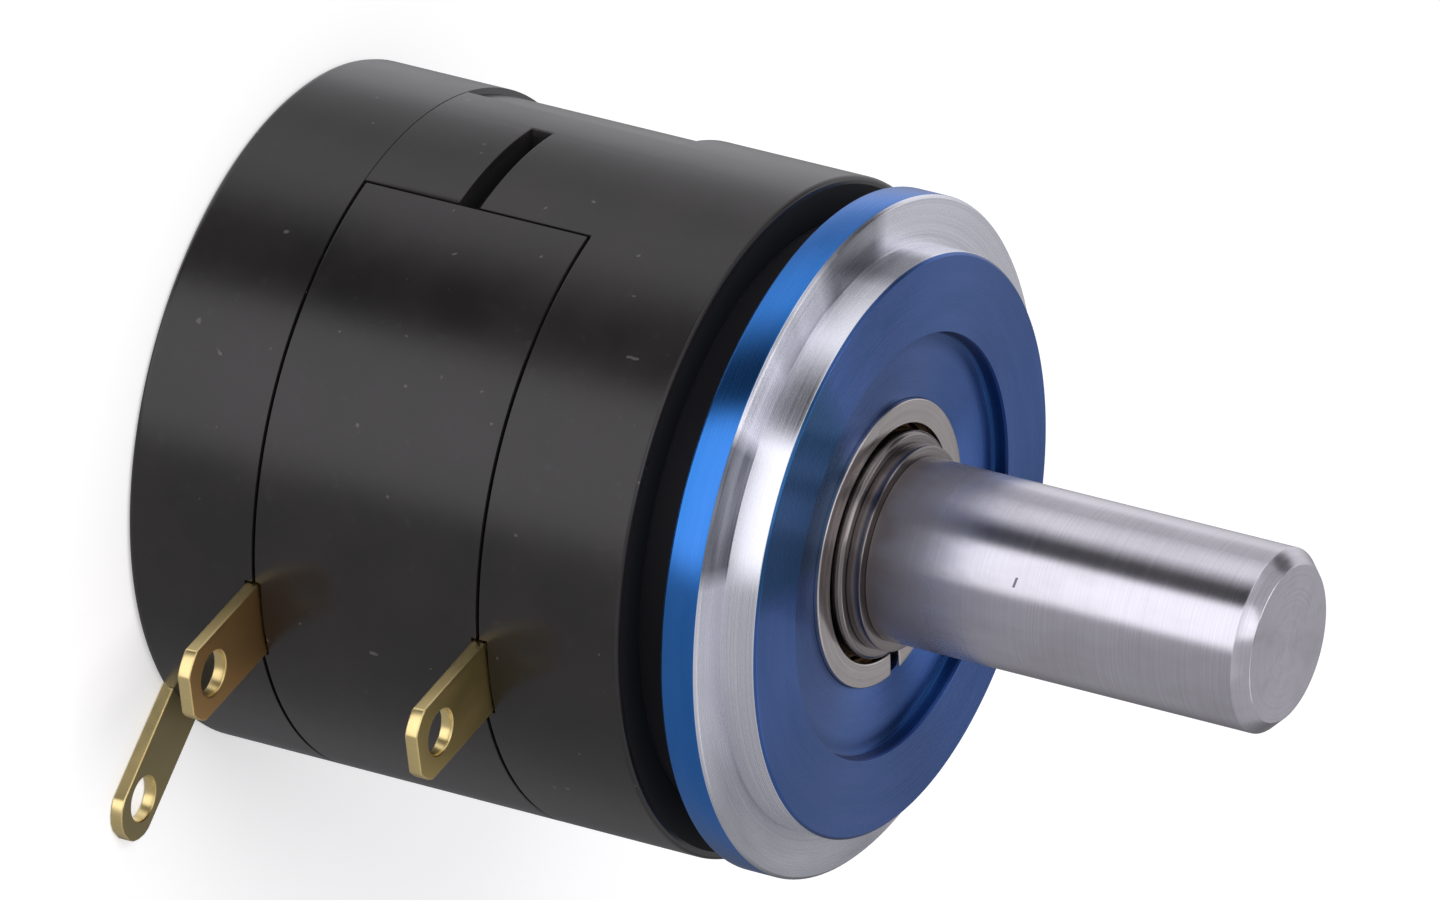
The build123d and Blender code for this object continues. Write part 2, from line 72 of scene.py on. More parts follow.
# %% [markdown]
# ## Sizes from the frame
#
# Nothing is measured twice. Each radius and each station along the axis is read from the box
# of the node that has it, so a new piece lies exactly on the old one. Only small things that a
# box can't tell, such as the depth of a recess, are written here.


# %% Radii and stations
def reach(node):
    """Largest distance from the axis of a node that is centred on it, in metres."""
    low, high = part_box(node)
    return max(abs(v) for v in (low.x, low.y, high.x, high.y))


def ends(node):
    """Lowest and highest z of a node, in metres."""
    low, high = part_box(node)
    return low.z, high.z


CLIP_LEDGE = 0.35 * MM
BODY_R = reach("mounting_flange")
BEARING_R = reach("retaining_ring")
SPACER_R = reach("front_spacer")
CLIP_R = reach("shaft_clip")
SHAFT_R = CLIP_R - CLIP_LEDGE
SPIGOT_BACK, PILOT_TOP = ends("mounting_flange")
HOUSING_BACK, BODY_FRONT = ends("front_housing")
CAP_BACK, LIP_TOP = ends("rear_cap")
INSERT_BACK, INSERT_FRONT = ends("side_insert")
SHAFT_BACK, SHAFT_TIP = ends("shaft")
print("body radius %.2f mm, shaft radius %.2f mm" % (BODY_R / MM, SHAFT_R / MM))

# %% Sizes that a box can't tell
PILOT_R = 9.525 * MM
RECESS_R = 6.95 * MM
RECESS_DEPTH = 0.6 * MM
RECESS_FLOOR = PILOT_TOP - RECESS_DEPTH
FLANGE_BACK = -1.3 * MM
print("pilot radius %.3f mm, recess radius %.2f mm" % (PILOT_R / MM, RECESS_R / MM))

# %% [markdown]
# ## Shader maths as plain expressions
#
# Materials are built from nodes. Wrapping a socket in a small class lets the sums be written
# as sums: `grain * 0.4 + 0.3` adds the two Math nodes by itself. Any other node comes from
# `node`, which takes the node's type, its settings and what goes into its sockets.


# %% A socket that can be added and multiplied
class Wire:
    """The output of a node. A sum on it adds a Math node."""

    def __init__(self, kit, socket):
        self.kit = kit
        self.socket = socket

    def math(self, operation, a, b=None):
        values = {0: a} if b is None else {0: a, 1: b}
        return self.kit.node("ShaderNodeMath", {"operation": operation}, values)

    def __add__(self, other):
        return self.math("ADD", self, other)

    def __sub__(self, other):
        return self.math("SUBTRACT", self, other)

    def __mul__(self, other):
        return self.math("MULTIPLY", self, other)

    def __truediv__(self, other):
        return self.math("DIVIDE", self, other)

    def __rsub__(self, other):
        return self.math("SUBTRACT", other, self)

    __radd__ = __add__
    __rmul__ = __mul__

    def power(self, exponent):
        return self.math("POWER", self, exponent)

    def above(self, level):
        return self.math("GREATER_THAN", self, level)

    def below(self, level):
        return self.math("LESS_THAN", self, level)

    def absolute(self):
        return self.math("ABSOLUTE", self)

    def sine(self):
        return self.math("SINE", self)

    def cosine(self):
        return self.math("COSINE", self)

    def azimuth(self, x):
        """The angle about the axis, where this wire is y."""
        return self.math("ARCTAN2", self, x)

    def clamped(self):
        return self.kit.node("ShaderNodeClamp", {}, {0: self})


print("a wire can do", sum(1 for name in vars(Wire) if not name.startswith("__")), "named sums")


# %% A node tree and short ways to add to it
def set_stops(ramp, stops):
    """Place a ramp's stops, each a position and a colour or grey level."""
    while len(ramp.elements) < len(stops):
        ramp.elements.new(0.5)
    for element, (position, colour) in zip(ramp.elements, stops):
        element.position = position
        element.color = colour if isinstance(colour, tuple) else (colour, colour, colour, 1)


class Kit:
    """The node tree of a material or of the world."""

    def __init__(self, owner):
        owner.use_nodes = True
        self.owner = owner
        self.tree = owner.node_tree
        self.shader = self.tree.nodes.get("Principled BSDF")

    def node(self, kind, settings, values, output=0):
        made = self.tree.nodes.new(kind)
        for key, value in settings.items():
            if key == "stops":
                set_stops(made.color_ramp, value)
            else:
                setattr(made, key, value)
        for key, value in values.items():
            if isinstance(value, Wire):
                self.tree.links.new(value.socket, made.inputs[key])
            else:
                made.inputs[key].default_value = value
        return Wire(self, made.outputs[output])

    def set(self, **values):
        for key, value in values.items():
            socket = self.shader.inputs[key.replace("_", " ")]
            if isinstance(value, Wire):
                self.tree.links.new(value.socket, socket)
            else:
                socket.default_value = value

    def point(self):
        return self.node("ShaderNodeTexCoord", {}, {}, "Object")

    def parts(self, vector):
        split = self.tree.nodes.new("ShaderNodeSeparateXYZ")
        self.tree.links.new(vector.socket, split.inputs[0])
        return [Wire(self, output) for output in split.outputs]

    def join(self, x, y, z):
        return self.node("ShaderNodeCombineXYZ", {}, {0: x, 1: y, 2: z})

    def noise(self, vector, scale, detail, roughness):
        values = {"Vector": vector, "Scale": scale, "Detail": detail, "Roughness": roughness}
        return self.node("ShaderNodeTexNoise", {}, values)

    def ramp(self, factor, *stops):
        return self.node("ShaderNodeValToRGB", {"stops": stops}, {0: factor})

    def mix(self, factor, a, b, blend="MIX"):
        settings = {"data_type": "RGBA", "blend_type": blend}
        colour_a, colour_b, colour_result = 6, 7, 2
        return self.node("ShaderNodeMix", settings, {0: factor, colour_a: a, colour_b: b}, colour_result)

    def bump(self, height, distance, strength):
        values = {"Height": height, "Distance": distance, "Strength": strength}
        return self.node("ShaderNodeBump", {}, values)


print("a kit has", sum(1 for name in vars(Kit) if not name.startswith("__")), "ways to add nodes")


# %% Places about the axis
def cylindrical(kit):
    """Radius, angle and height of the shaded point about the axis, as wires in metres."""
    x, y, z = kit.parts(kit.point())
    radius = (x * x + y * y).power(0.5)
    return radius, y.azimuth(x), z


def sector_mask(angle, centre_deg, half_deg, soft):
    """One within a sector. Working on the cosine keeps it whole across 180 degrees."""
    offset = (angle - math.radians(centre_deg)).cosine()
    return ((offset - math.cos(math.radians(half_deg))) / soft).clamped()


FINISHES = {}
print("places are given by radius, angle and height")

# %% [markdown]
# ## Black moulded plastic
#
# The housing is a glass-filled moulding with a fine satin skin: nearly black, with a faint
# mottle and a grain too small to see one by one. A wide soft reflection carries its shape,
# so the roughness matters more than the colour. Sparse specks stand for dust. Noise on the
# object's own coordinates gives all of it and needs no unwrapping. Below the skin, in the
# slot and the seams, the colour is painted near black and made rough: a painted shade, as a deep narrow
# gap looks.

# %% Mouldings
FIBRE_GREY = (0.04, 0.04, 0.045, 1)
DUST_GREY = (0.12, 0.11, 0.11, 1)
GAP_SHADE_BLACK = (0.0025, 0.0025, 0.0028, 1)
GAP_ROUGH = (0.85, 0.85, 0.85, 1)
SKIN_DEPTH = 0.26 * MM
REAR_SKIN = 0.5 * MM


def make_moulding(name, tint, warm, painted_gap_shade=False):
    kit = Kit(bpy.data.materials.new(name))
    point = kit.point()
    cloud = kit.noise(point, 260, 4, 0.6)
    grain = kit.noise(point, 9000, 2, 0.6)
    fibre = kit.ramp(kit.noise(point, 2600, 1, 0.4), (0.66, 0.0), (0.76, 1.0))
    speck = kit.ramp(kit.noise(point, 3300, 0, 0.5), (0.855, 0.0), (0.88, 1.0))
    base = kit.mix(kit.ramp(cloud, (0.35, 0.0), (0.65, 1.0)), tint, warm)
    base = kit.mix(fibre * 0.12, base, FIBRE_GREY)
    base = kit.mix(speck * 0.5, base, DUST_GREY)
    skin = kit.ramp(cloud, (0.3, 0.20), (0.7, 0.27))
    if painted_gap_shade:
        radius, angle, height = cylindrical(kit)
        # Painted shade: every surface below the skin, such as the slot floor and the seam walls, is
        # coloured near black.
        inside = radius.below(BODY_R - SKIN_DEPTH) * height.above(CAP_BACK + REAR_SKIN)
        base = kit.mix(inside, base, GAP_SHADE_BLACK)
        skin = kit.mix(inside, skin, GAP_ROUGH)
    kit.set(
        Base_Color=base,
        Roughness=skin,
        Specular_IOR_Level=0.5,
        IOR=1.5,
        Normal=kit.bump(grain, 0.004 * MM, 0.35),
    )
    return kit.owner


FINISHES["moulded_body"] = make_moulding(
    "moulded_black", (0.0105, 0.0096, 0.0090, 1), (0.0150, 0.0128, 0.0130, 1), painted_gap_shade=True
)
FINISHES["moulded_rotor"] = make_moulding(
    "moulded_brown", (0.060, 0.036, 0.022, 1), (0.085, 0.052, 0.032, 1)
)
FINISHES["moulded_carriage"] = FINISHES["moulded_rotor"]
print("plastics:", [FINISHES[slot].name for slot in ("moulded_body", "moulded_rotor")])

# %% [markdown]
# ## Blue anodised aluminium with bare turned faces
#
# Anodising leaves the turned metal under a thin dyed oxide, so the blue is the colour of a
# metal and not of a paint. The shoulder and the pilot's wall were turned after dyeing and are
# bare. Two materials would need a seam in the mesh, so one material holds both, and picks the
# finish by where it is on the part: the cut surfaces lie in the corner between the pilot and
# the shoulder. The lathe's lines run round the axis, and they spread every highlight across
# themselves. The anisotropy socket does that, and a fine ripple in the radius and the height
# adds the lines. A few sectors of the bare metal are painted darker, as painted reflections
# of the dark things around the part.

# %% Zones of the flange
CUT_MARGIN = 0.02 * MM
CORNER_WIDTH = 0.7 * MM


def flange_zones(radius, height):
    """Masks: bare metal, the groove, the blue face, and the corner of the recess that gets painted
    shade.
    """
    on_shoulder = radius.above(PILOT_R - CUT_MARGIN) * height.above(-0.09 * MM)
    bare = on_shoulder * height.below(PILOT_TOP - 0.06 * MM)
    in_groove = height.below(FLANGE_BACK - CUT_MARGIN)
    on_face = height.above(0.05 * MM)
    corner = ((radius - (RECESS_R - CORNER_WIDTH)) / CORNER_WIDTH).clamped()
    in_recess = radius.below(RECESS_R + CUT_MARGIN) * height.below(PILOT_TOP - 0.12 * MM)
    return bare, in_groove, on_face, corner * in_recess * on_face


# Painted reflections: sectors of the bare metal coloured darker, where the part mirrors dark things.
# Centre and half width in degrees, softness, strength, and whether it is on the shoulder.
DARK_REFLECTION_SECTORS = (
    (-194, 10, 0.012, 0.66, False),
    (-185, 12, 0.014, 0.70, True),
    (-161, 5, 0.003, 0.30, True),
    (-129, 14, 0.014, 0.93, True),
    (-40, 52, 0.250, 0.45, True),
)
DARK_REFLECTION_GREY = (0.10, 0.11, 0.13, 1)


def with_painted_reflections(kit, metal, angle, height, smears):
    """Paint dark reflections into sectors of the bare metal."""
    shoulder = height.below(0.03 * MM)
    for centre_deg, half_deg, soft, strength, on_shoulder in DARK_REFLECTION_SECTORS:
        mask = sector_mask(angle, centre_deg, half_deg, soft) * (smears * 0.35 + 0.75) * strength
        metal = kit.mix(mask * (shoulder if on_shoulder else 1 - shoulder), metal, DARK_REFLECTION_GREY)
    return metal


print("dark_mirroring in", len(DARK_REFLECTION_SECTORS), "sectors")


# %% Flange finish
def dyed_face_with_painted_shade(kit, smears, angle, shaded):
    """The blue of the front face, with painted shade on two sides and in the corner of the recess."""
    blue = kit.mix(smears, (0.055, 0.135, 0.385, 1), (0.074, 0.152, 0.43, 1))
    # Painted shade: two sectors of the face are coloured a darker blue.
    blue = kit.mix(sector_mask(angle, -135, 26, 0.05) * 0.8, blue, (0.022, 0.100, 0.230, 1))
    blue = kit.mix(sector_mask(angle, -15, 75, 0.5) * 0.35, blue, (0.030, 0.085, 0.270, 1))
    # Painted shade in the corner of the recess.
    return kit.mix(shaded * 0.85, blue, (0.006, 0.045, 0.17, 1))


def make_flange_finish():
    kit = Kit(bpy.data.materials.new("anodised_flange"))
    radius, angle, height = cylindrical(kit)
    bare, in_groove, on_face, shaded = flange_zones(radius, height)
    lines = kit.noise(kit.join(radius * 26000, height * 26000, angle * 0.6), 1.0, 3, 0.65)
    fine = kit.ramp(lines, (0.3, 0.0), (0.7, 1.0))
    smears = kit.noise(kit.join(radius * 1500, height * 1500, angle * 2.2), 1.0, 2, 0.5)
    smears = kit.ramp(smears, (0.3, 0.0), (0.7, 1.0))
    rim_blue = kit.mix(smears, (0.036, 0.19, 0.58, 1), (0.050, 0.21, 0.64, 1))
    metal = kit.mix(fine, (0.74, 0.75, 0.84, 1), (0.94, 0.95, 1.00, 1))
    # Painted reflections: darker sectors on the bare metal.
    metal = with_painted_reflections(kit, metal, angle, height, smears)
    dyed = kit.mix(on_face, rim_blue, dyed_face_with_painted_shade(kit, smears, angle, shaded))
    colour = kit.mix(bare, dyed, metal)
    satin = kit.ramp(lines, (0.3, 0.22), (0.7, 0.31))
    cut_finish = kit.ramp(lines, (0.3, 0.22), (0.7, 0.33))
    kit.set(
        Base_Color=kit.mix(in_groove, colour, (0.003, 0.0025, 0.004, 1)),
        Metallic=1 - in_groove * 0.9,
        Roughness=kit.mix(in_groove, kit.mix(bare, satin, cut_finish), (0.9, 0.9, 0.9, 1)),
        Anisotropic=0.9,
        Anisotropic_Rotation=0.25,
        Normal=kit.bump(lines, 0.003 * MM, 0.25),
    )
    return kit.owner


FINISHES["anodised_flange"] = make_flange_finish()
print("flange finish has", len(FINISHES["anodised_flange"].node_tree.nodes), "nodes")

# %% [markdown]
# ## Turned and ground metals
#
# The shaft, the rings and the clip differ in tone and in how fine their lathe lines are. One
# function makes them all: a base colour, a second one for the lines, the roughness between
# two limits, how strongly the lines spread a highlight, and how far apart they are. The
# shaft is darker and less metallic towards its foot, from a level on the axis down to the
# ring, and a small slanting nick marks its side.

# %% Turned metal
STAIN_GREY = (0.33, 0.30, 0.30, 1)
NICK_GREY = (0.05, 0.05, 0.055, 1)
NICK_ANGLE = math.radians(126)
NICK_HALF_TURN = 0.055
NICK_Z = 6.75 * MM
NICK_HALF_W = 0.045 * MM
NICK_SLANT = 0.5 * MM
FOOT_FADE = 3.5 * MM


def nick_mask(angle, height):
    """A short dark line that crosses the shaft's side at a slant."""
    turn = angle + NICK_ANGLE
    on_line = (height - NICK_Z + turn * NICK_SLANT).absolute().below(NICK_HALF_W)
    return on_line * turn.absolute().below(NICK_HALF_TURN)


def make_turned_metal(name, colour, line_colour, rough, spread, pitch, foot=None):
    kit = Kit(bpy.data.materials.new(name))
    radius, angle, height = cylindrical(kit)
    lathe = kit.join(radius / (pitch * MM), height / (pitch * MM), angle * 0.5)
    lines = kit.noise(lathe, 1.0, 3, 0.7)
    stain = kit.noise(kit.join(radius * 900, height * 320, angle * 3.0), 1.0, 3, 0.55)
    toned = kit.mix(kit.ramp(lines, (0.3, 0.0), (0.7, 1.0)), colour, line_colour)
    aged = kit.mix(kit.ramp(stain, (0.45, 0.0), (0.8, 0.22)), toned, STAIN_GREY)
    metallic = 1.0
    if foot:
        level, foot_colour = foot
        near_foot = ((level - height) / FOOT_FADE + (stain - 0.5) * 0.5).clamped()
        aged = kit.mix(near_foot, aged, foot_colour)
        aged = kit.mix(nick_mask(angle, height) * 0.8, aged, NICK_GREY)
        metallic = 1 - near_foot * 0.6
    low, high = rough
    kit.set(
        Base_Color=aged,
        Metallic=metallic,
        Roughness=kit.ramp(lines * 0.6 + stain * 0.4, (0.3, low), (0.7, high)),
        Anisotropic=spread,
        Anisotropic_Rotation=0.25,
        Normal=kit.bump(lines, 0.002 * MM, 0.4),
    )
    return kit.owner


# Colour, colour of the lines, roughness from and to, spread, and pitch of the lines in mm.
TURNED_METALS = {
    "shaft_steel": ((0.60, 0.585, 0.64, 1), (0.69, 0.675, 0.74, 1), (0.19, 0.27), 0.65, 0.035),
    "collar_steel": ((0.19, 0.172, 0.170, 1), (0.32, 0.292, 0.290, 1), (0.15, 0.25), 0.6, 0.05),
    "nickel_ring": ((0.44, 0.41, 0.40, 1), (0.62, 0.58, 0.56, 1), (0.12, 0.22), 0.4, 0.05),
    "bearing_steel": ((0.56, 0.56, 0.58, 1), (0.66, 0.66, 0.68, 1), (0.10, 0.18), 0.3, 0.03),
    "spring_steel": ((0.36, 0.36, 0.40, 1), (0.46, 0.46, 0.50, 1), (0.25, 0.36), 0.3, 0.04),
    "cage_bronze": ((0.58, 0.36, 0.17, 1), (0.68, 0.46, 0.24, 1), (0.24, 0.36), 0.2, 0.06),
}
FEET = {"shaft_steel": (5.2 * MM, (0.155, 0.135, 0.135, 1))}
for slot, recipe in TURNED_METALS.items():
    FINISHES[slot] = make_turned_metal(slot, *recipe, foot=FEET.get(slot))
print("turned metals:", len(TURNED_METALS))

# %% [markdown]
# ## Gold plate and spring bronze
#
# The lugs are brass stampings with a thin gold plate: yellow, with the fine lengthwise lines
# of rolled strip and a browner tone where the plate is thin. Their broad faces are rougher
# than the sheared edges, and their colour is painted darker, as a painted reflection of the
# dark case. The normal tells one from the other, and the height tells which lug it is, as each
# lug's faces get their own painted shade: the rear one browner and the one at the cap greener.

# %% Rolled strip
REAR_LUG_FRONT = -12 * MM
REAR_LUG_BACK = -18 * MM
WIPER_LUG_FRONT = -19 * MM
# Painted shade of the wiper lug's broad faces.
WIPER_FACE_SHADE_GOLD = (0.27, 0.22, 0.10, 1)


def make_strip(name, colour, thin_colour, rough, broad_face_reflection_colour=None, rear_lug_shade_colour=None):
    """Rolled strip. The broad faces can be rougher than the sheared edges, with painted reflection and
    shade darkening their colour.
    """
    kit = Kit(bpy.data.materials.new(name))
    point = kit.point()
    x, y, z = kit.parts(point)
    rolled = kit.noise(kit.join(x * 2600, y * 500, z * 1500), 1.0, 1, 0.5)
    cloud = kit.noise(point, 600, 1, 0.5)
    patchy = kit.ramp(cloud, (0.40, 0.0), (0.75, 0.7))
    low, high = rough
    base = kit.mix(patchy, colour, thin_colour)
    sheen = kit.ramp(rolled * 0.5 + cloud * 0.5, (0.3, low), (0.7, high))
    if broad_face_reflection_colour:
        # Painted reflection and shade: the broad faces are coloured darker, with a tone of their own on
        # each lug.
        normal_z = kit.parts(kit.node("ShaderNodeTexCoord", {}, {}, "Normal"))[2]
        broad = ((normal_z.absolute() - 0.75) * 5.0).clamped()
        rear = z.below(REAR_LUG_FRONT) * z.above(REAR_LUG_BACK)
        painted_face_tone = kit.mix(rear, kit.mix(patchy * 0.5, broad_face_reflection_colour, thin_colour), rear_lug_shade_colour)
        painted_face_tone = kit.mix(z.below(WIPER_LUG_FRONT), painted_face_tone, WIPER_FACE_SHADE_GOLD)
        base = kit.mix(broad, base, painted_face_tone)
        sheen = sheen + broad * 0.12
    kit.set(
        Base_Color=base,
        Metallic=1.0,
        Roughness=sheen,
        Normal=kit.bump(rolled, 0.001 * MM, 0.15),
    )
    return kit.owner


FINISHES["gold_plate"] = make_strip(
    "gold_plate",
    (0.86, 0.70, 0.33, 1),
    (0.66, 0.50, 0.22, 1),
    (0.24, 0.34),
    broad_face_reflection_colour=(0.60, 0.46, 0.17, 1),
    rear_lug_shade_colour=(0.62, 0.37, 0.14, 1),
)
FINISHES["spring_bronze"] = make_strip(
    "spring_bronze", (0.66, 0.40, 0.20, 1), (0.50, 0.30, 0.15, 1), (0.22, 0.36)
)
print("strips:", [FINISHES[slot].name for slot in ("gold_plate", "spring_bronze")])

# %% [markdown]
# ## Resistance wire
#
# The element is a mandrel wound with fine wire. Modelling each turn of wire would take a
# million faces, so a sine wave round the axis draws the turns in colour and in bump. It leans
# with the height, as the winding does.

# %% Wound wire
WIRE_TURNS = 1400
WIRE_LEAN = 9000


def make_resistance_wire():
    kit = Kit(bpy.data.materials.new("resistance_wire"))
    radius, angle, height = cylindrical(kit)
    ridge = (angle * WIRE_TURNS + height * WIRE_LEAN).sine() * 0.5 + 0.5
    worn = kit.noise(kit.point(), 500, 2, 0.5)
    kit.set(
        Base_Color=kit.mix(ridge, (0.20, 0.15, 0.12, 1), (0.62, 0.55, 0.50, 1)),
        Metallic=1.0,
        Roughness=kit.ramp(worn, (0.3, 0.28), (0.7, 0.42)),
        Normal=kit.bump(ridge, 0.01 * MM, 0.7),
    )
    return kit.owner


FINISHES["resistance_wire"] = make_resistance_wire()
print("wire finish:", FINISHES["resistance_wire"].name)

# %% [markdown]
# ## A material for every slot
#
# The record names a finish slot for each node, and the finishes are kept under those names.
# Every packed node gets its material that way, so nothing is left bare, not even the pieces
# that nobody sees.

# %% Dress the packed nodes
SLOT_OF = {row["node"]: row["material_slot"] for row in frame["record"]["subparts"]}
for node_name, node_object in frame["nodes"].items():
    node_object.data.materials.clear()
    node_object.data.materials.append(FINISHES[SLOT_OF[node_name]])
print("dressed", len(SLOT_OF), "nodes from", len(FINISHES), "slots")

# %% [markdown]
# ## Modelling helpers
#
# Everything round is turned the way a lathe would: start from a circle, then step along the
# profile, extruding the open edge and scaling it to the next radius. The circle starts half a
# step round, so that no edge lies on a cut line. Corners get a narrow bevel, because an edge
# with no width never catches the light.


# %% Select and edit
def deselect_all():
    bpy.ops.object.select_all(action="DESELECT")


def activate(piece):
    deselect_all()
    piece.select_set(True)
    bpy.context.view_layer.objects.active = piece


def edit(piece, select_mode="VERT"):
    activate(piece)
    bpy.ops.object.mode_set(mode="EDIT")
    bpy.ops.mesh.select_mode(type=select_mode)


def leave_edit():
    bpy.ops.object.mode_set(mode="OBJECT")


def apply_place(piece):
    """Put the piece's place, turn and size into its mesh."""
    activate(piece)
    bpy.ops.object.transform_apply(location=True, rotation=True, scale=True)


print("ready to edit, in", bpy.context.mode, "mode")

# %% Turn a profile
SEGMENTS = 180
MERGE = 0.0002 * MM


def scale_ring(factor):
    bpy.ops.transform.resize(
        value=(factor, factor, 1), orient_type="GLOBAL", center_override=(0, 0, 0)
    )


def extrude_ring(radius, height, next_r, next_z):
    """Pull the open edge along the axis, then scale it to its new radius."""
    bpy.ops.mesh.extrude_edges_move(TRANSFORM_OT_translate={"value": (0, 0, next_z - height)})
    scale_ring(next_r / radius)


def cap_ends(piece):
    """Close the open rims of a piece with a flat face each."""
    edit(piece, "EDGE")
    bpy.ops.mesh.select_all(action="DESELECT")
    bpy.ops.mesh.select_non_manifold()
    bpy.ops.mesh.fill_holes(sides=0)
    leave_edit()


def point_outwards(piece):
    edit(piece, "FACE")
    bpy.ops.mesh.select_all(action="SELECT")
    bpy.ops.mesh.normals_make_consistent(inside=False)
    leave_edit()


def turned(name, profile, segments=SEGMENTS, ring=False):
    """A piece of revolution from (radius, z) pairs. A ring joins its end to its start."""
    radius, height = profile[0]
    deselect_all()
    bpy.ops.mesh.primitive_circle_add(
        vertices=segments,
        radius=radius,
        location=(0, 0, height),
        rotation=(0, 0, math.pi / segments),
        fill_type="NOTHING",
    )
    piece = bpy.context.object
    piece.name = piece.data.name = name
    apply_place(piece)
    edit(piece, "EDGE")
    bpy.ops.mesh.select_all(action="SELECT")
    for next_r, next_z in profile[1:]:
        extrude_ring(radius, height, next_r, next_z)
        radius, height = next_r, next_z
    if ring:
        extrude_ring(radius, height, *profile[0])
        bpy.ops.mesh.select_all(action="SELECT")
        bpy.ops.mesh.remove_doubles(threshold=MERGE)
    leave_edit()
    if not ring:
        cap_ends(piece)
    point_outwards(piece)
    return piece


def washer(inner_r, outer_r, first_z, last_z):
    """The profile of a plain ring."""
    return [(inner_r, first_z), (outer_r, first_z), (outer_r, last_z), (inner_r, last_z)]


print("round pieces have", SEGMENTS, "segments")

# %% Ease the edges and finish
EDGE_ANGLE = math.radians(25)
SMOOTH_ANGLE = math.radians(35)
FACE_AREA_WEIGHT = 90


def bevelled(piece, width, segments=2):
    """Round every sharp corner, and keep the flats flat."""
    activate(piece)
    bevel = piece.modifiers.new("edge_break", "BEVEL")
    bevel.width = width
    bevel.segments = segments
    bevel.limit_method = "ANGLE"
    bevel.angle_limit = EDGE_ANGLE
    bevel.harden_normals = False
    bpy.ops.object.modifier_apply(modifier=bevel.name)


def finished(piece, body, slot, *nodes, smooth=SMOOTH_ANGLE):
    """Smooth shading, body, slot with its material, and the nodes that the piece stands for."""
    activate(piece)
    bpy.ops.object.shade_smooth_by_angle(angle=smooth)
    weighted = piece.modifiers.new("even_shading", "WEIGHTED_NORMAL")
    weighted.keep_sharp = True
    weighted.weight = FACE_AREA_WEIGHT
    bpy.ops.object.modifier_apply(modifier=weighted.name)
    piece.data.materials.clear()
    piece.data.materials.append(FINISHES[slot])
    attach(piece, body)
    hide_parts(*nodes)
    print("%-20s %6d faces" % (piece.name, len(piece.data.polygons)))


print("corners over %.0f degrees are bevelled" % math.degrees(EDGE_ANGLE))

# %% [markdown]
# ## Mounting flange
#
# One turned piece: the bearing seat, the shallow recess in the blue face, the pilot, the
# shoulder, the rim, the cleat groove and the spigot. Stacked discs would leave seams between
# them. Following the profile once round and closing it on itself gives a watertight ring.

# %% Turn the flange
WALL = 1.4 * MM
BORE_R = BODY_R - WALL
GROOVE_R = 9.6 * MM
CHAMFER = 0.1 * MM
FIT = 0.01 * MM
SPIGOT_R = BORE_R - 0.02 * MM
SEAT_R = BEARING_R + FIT
SEAT_BACK = ends("front_outer_ring")[0] - FIT
SEAT_LIP_R = SEAT_R - 0.6 * MM
RECESS_BEVEL = 0.3 * MM
FLANGE_SMOOTH = math.radians(24)
flange_profile = [
    (SEAT_R, RECESS_FLOOR),
    (RECESS_R - RECESS_BEVEL, RECESS_FLOOR),
    (RECESS_R - 0.4 * RECESS_BEVEL, RECESS_FLOOR + 0.12 * RECESS_BEVEL),
    (RECESS_R - 0.12 * RECESS_BEVEL, RECESS_FLOOR + 0.4 * RECESS_BEVEL),
    (RECESS_R, RECESS_FLOOR + RECESS_BEVEL),
    (RECESS_R, PILOT_TOP),
    (PILOT_R - CHAMFER, PILOT_TOP),
    (PILOT_R, PILOT_TOP - CHAMFER),
    (PILOT_R, 0),
    (BODY_R - CHAMFER, 0),
    (BODY_R, -CHAMFER),
    (BODY_R, FLANGE_BACK + CHAMFER),
    (BODY_R - CHAMFER, FLANGE_BACK),
    (GROOVE_R, FLANGE_BACK),
    (GROOVE_R, BODY_FRONT + FIT),
    (SPIGOT_R, BODY_FRONT + FIT),
    (SPIGOT_R, SPIGOT_BACK),
    (SEAT_LIP_R, SPIGOT_BACK),
    (SEAT_LIP_R, SEAT_BACK),
    (SEAT_R, SEAT_BACK),
]
flange = turned("flange_ring", flange_profile, ring=True)
bevelled(flange, 0.02 * MM)
finished(flange, "housing", "anodised_flange", "mounting_flange", smooth=FLANGE_SMOOTH)

# %% [markdown]
# ## Front housing
#
# A moulded tube with a window in its side, a relief slot beside the window and a label panel
# that lies two tenths of a millimetre lower. On the mould these are inserts. Flat blocks would
# cut flat floors, so here they are sectors swept about the axis and taken out of the tube.


# %% Sweep a sector about the axis
def sector(name, inner_r, outer_r, low_z, high_z, start_deg, sweep_deg, step_deg=2.0):
    """A solid sector of a tube, between two radii, two heights and two azimuths."""
    start = math.radians(start_deg)
    middle_r = (inner_r + outer_r) / 2
    deselect_all()
    bpy.ops.mesh.primitive_plane_add(
        size=1,
        location=(middle_r * math.cos(start), middle_r * math.sin(start), (low_z + high_z) / 2),
        rotation=(math.pi / 2, 0, start),
    )
    piece = bpy.context.object
    piece.name = piece.data.name = name
    piece.scale = (outer_r - inner_r, high_z - low_z, 1)
    apply_place(piece)
    edit(piece, "FACE")
    bpy.ops.mesh.select_all(action="SELECT")
    bpy.ops.mesh.spin(
        steps=max(1, round(sweep_deg / step_deg)),
        angle=math.radians(sweep_deg),
        center=(0, 0, 0),
        axis=(0, 0, -1),
    )
    bpy.ops.mesh.select_all(action="SELECT")
    bpy.ops.mesh.remove_doubles(threshold=MERGE)
    bpy.ops.mesh.normals_make_consistent(inside=False)
    leave_edit()
    return piece


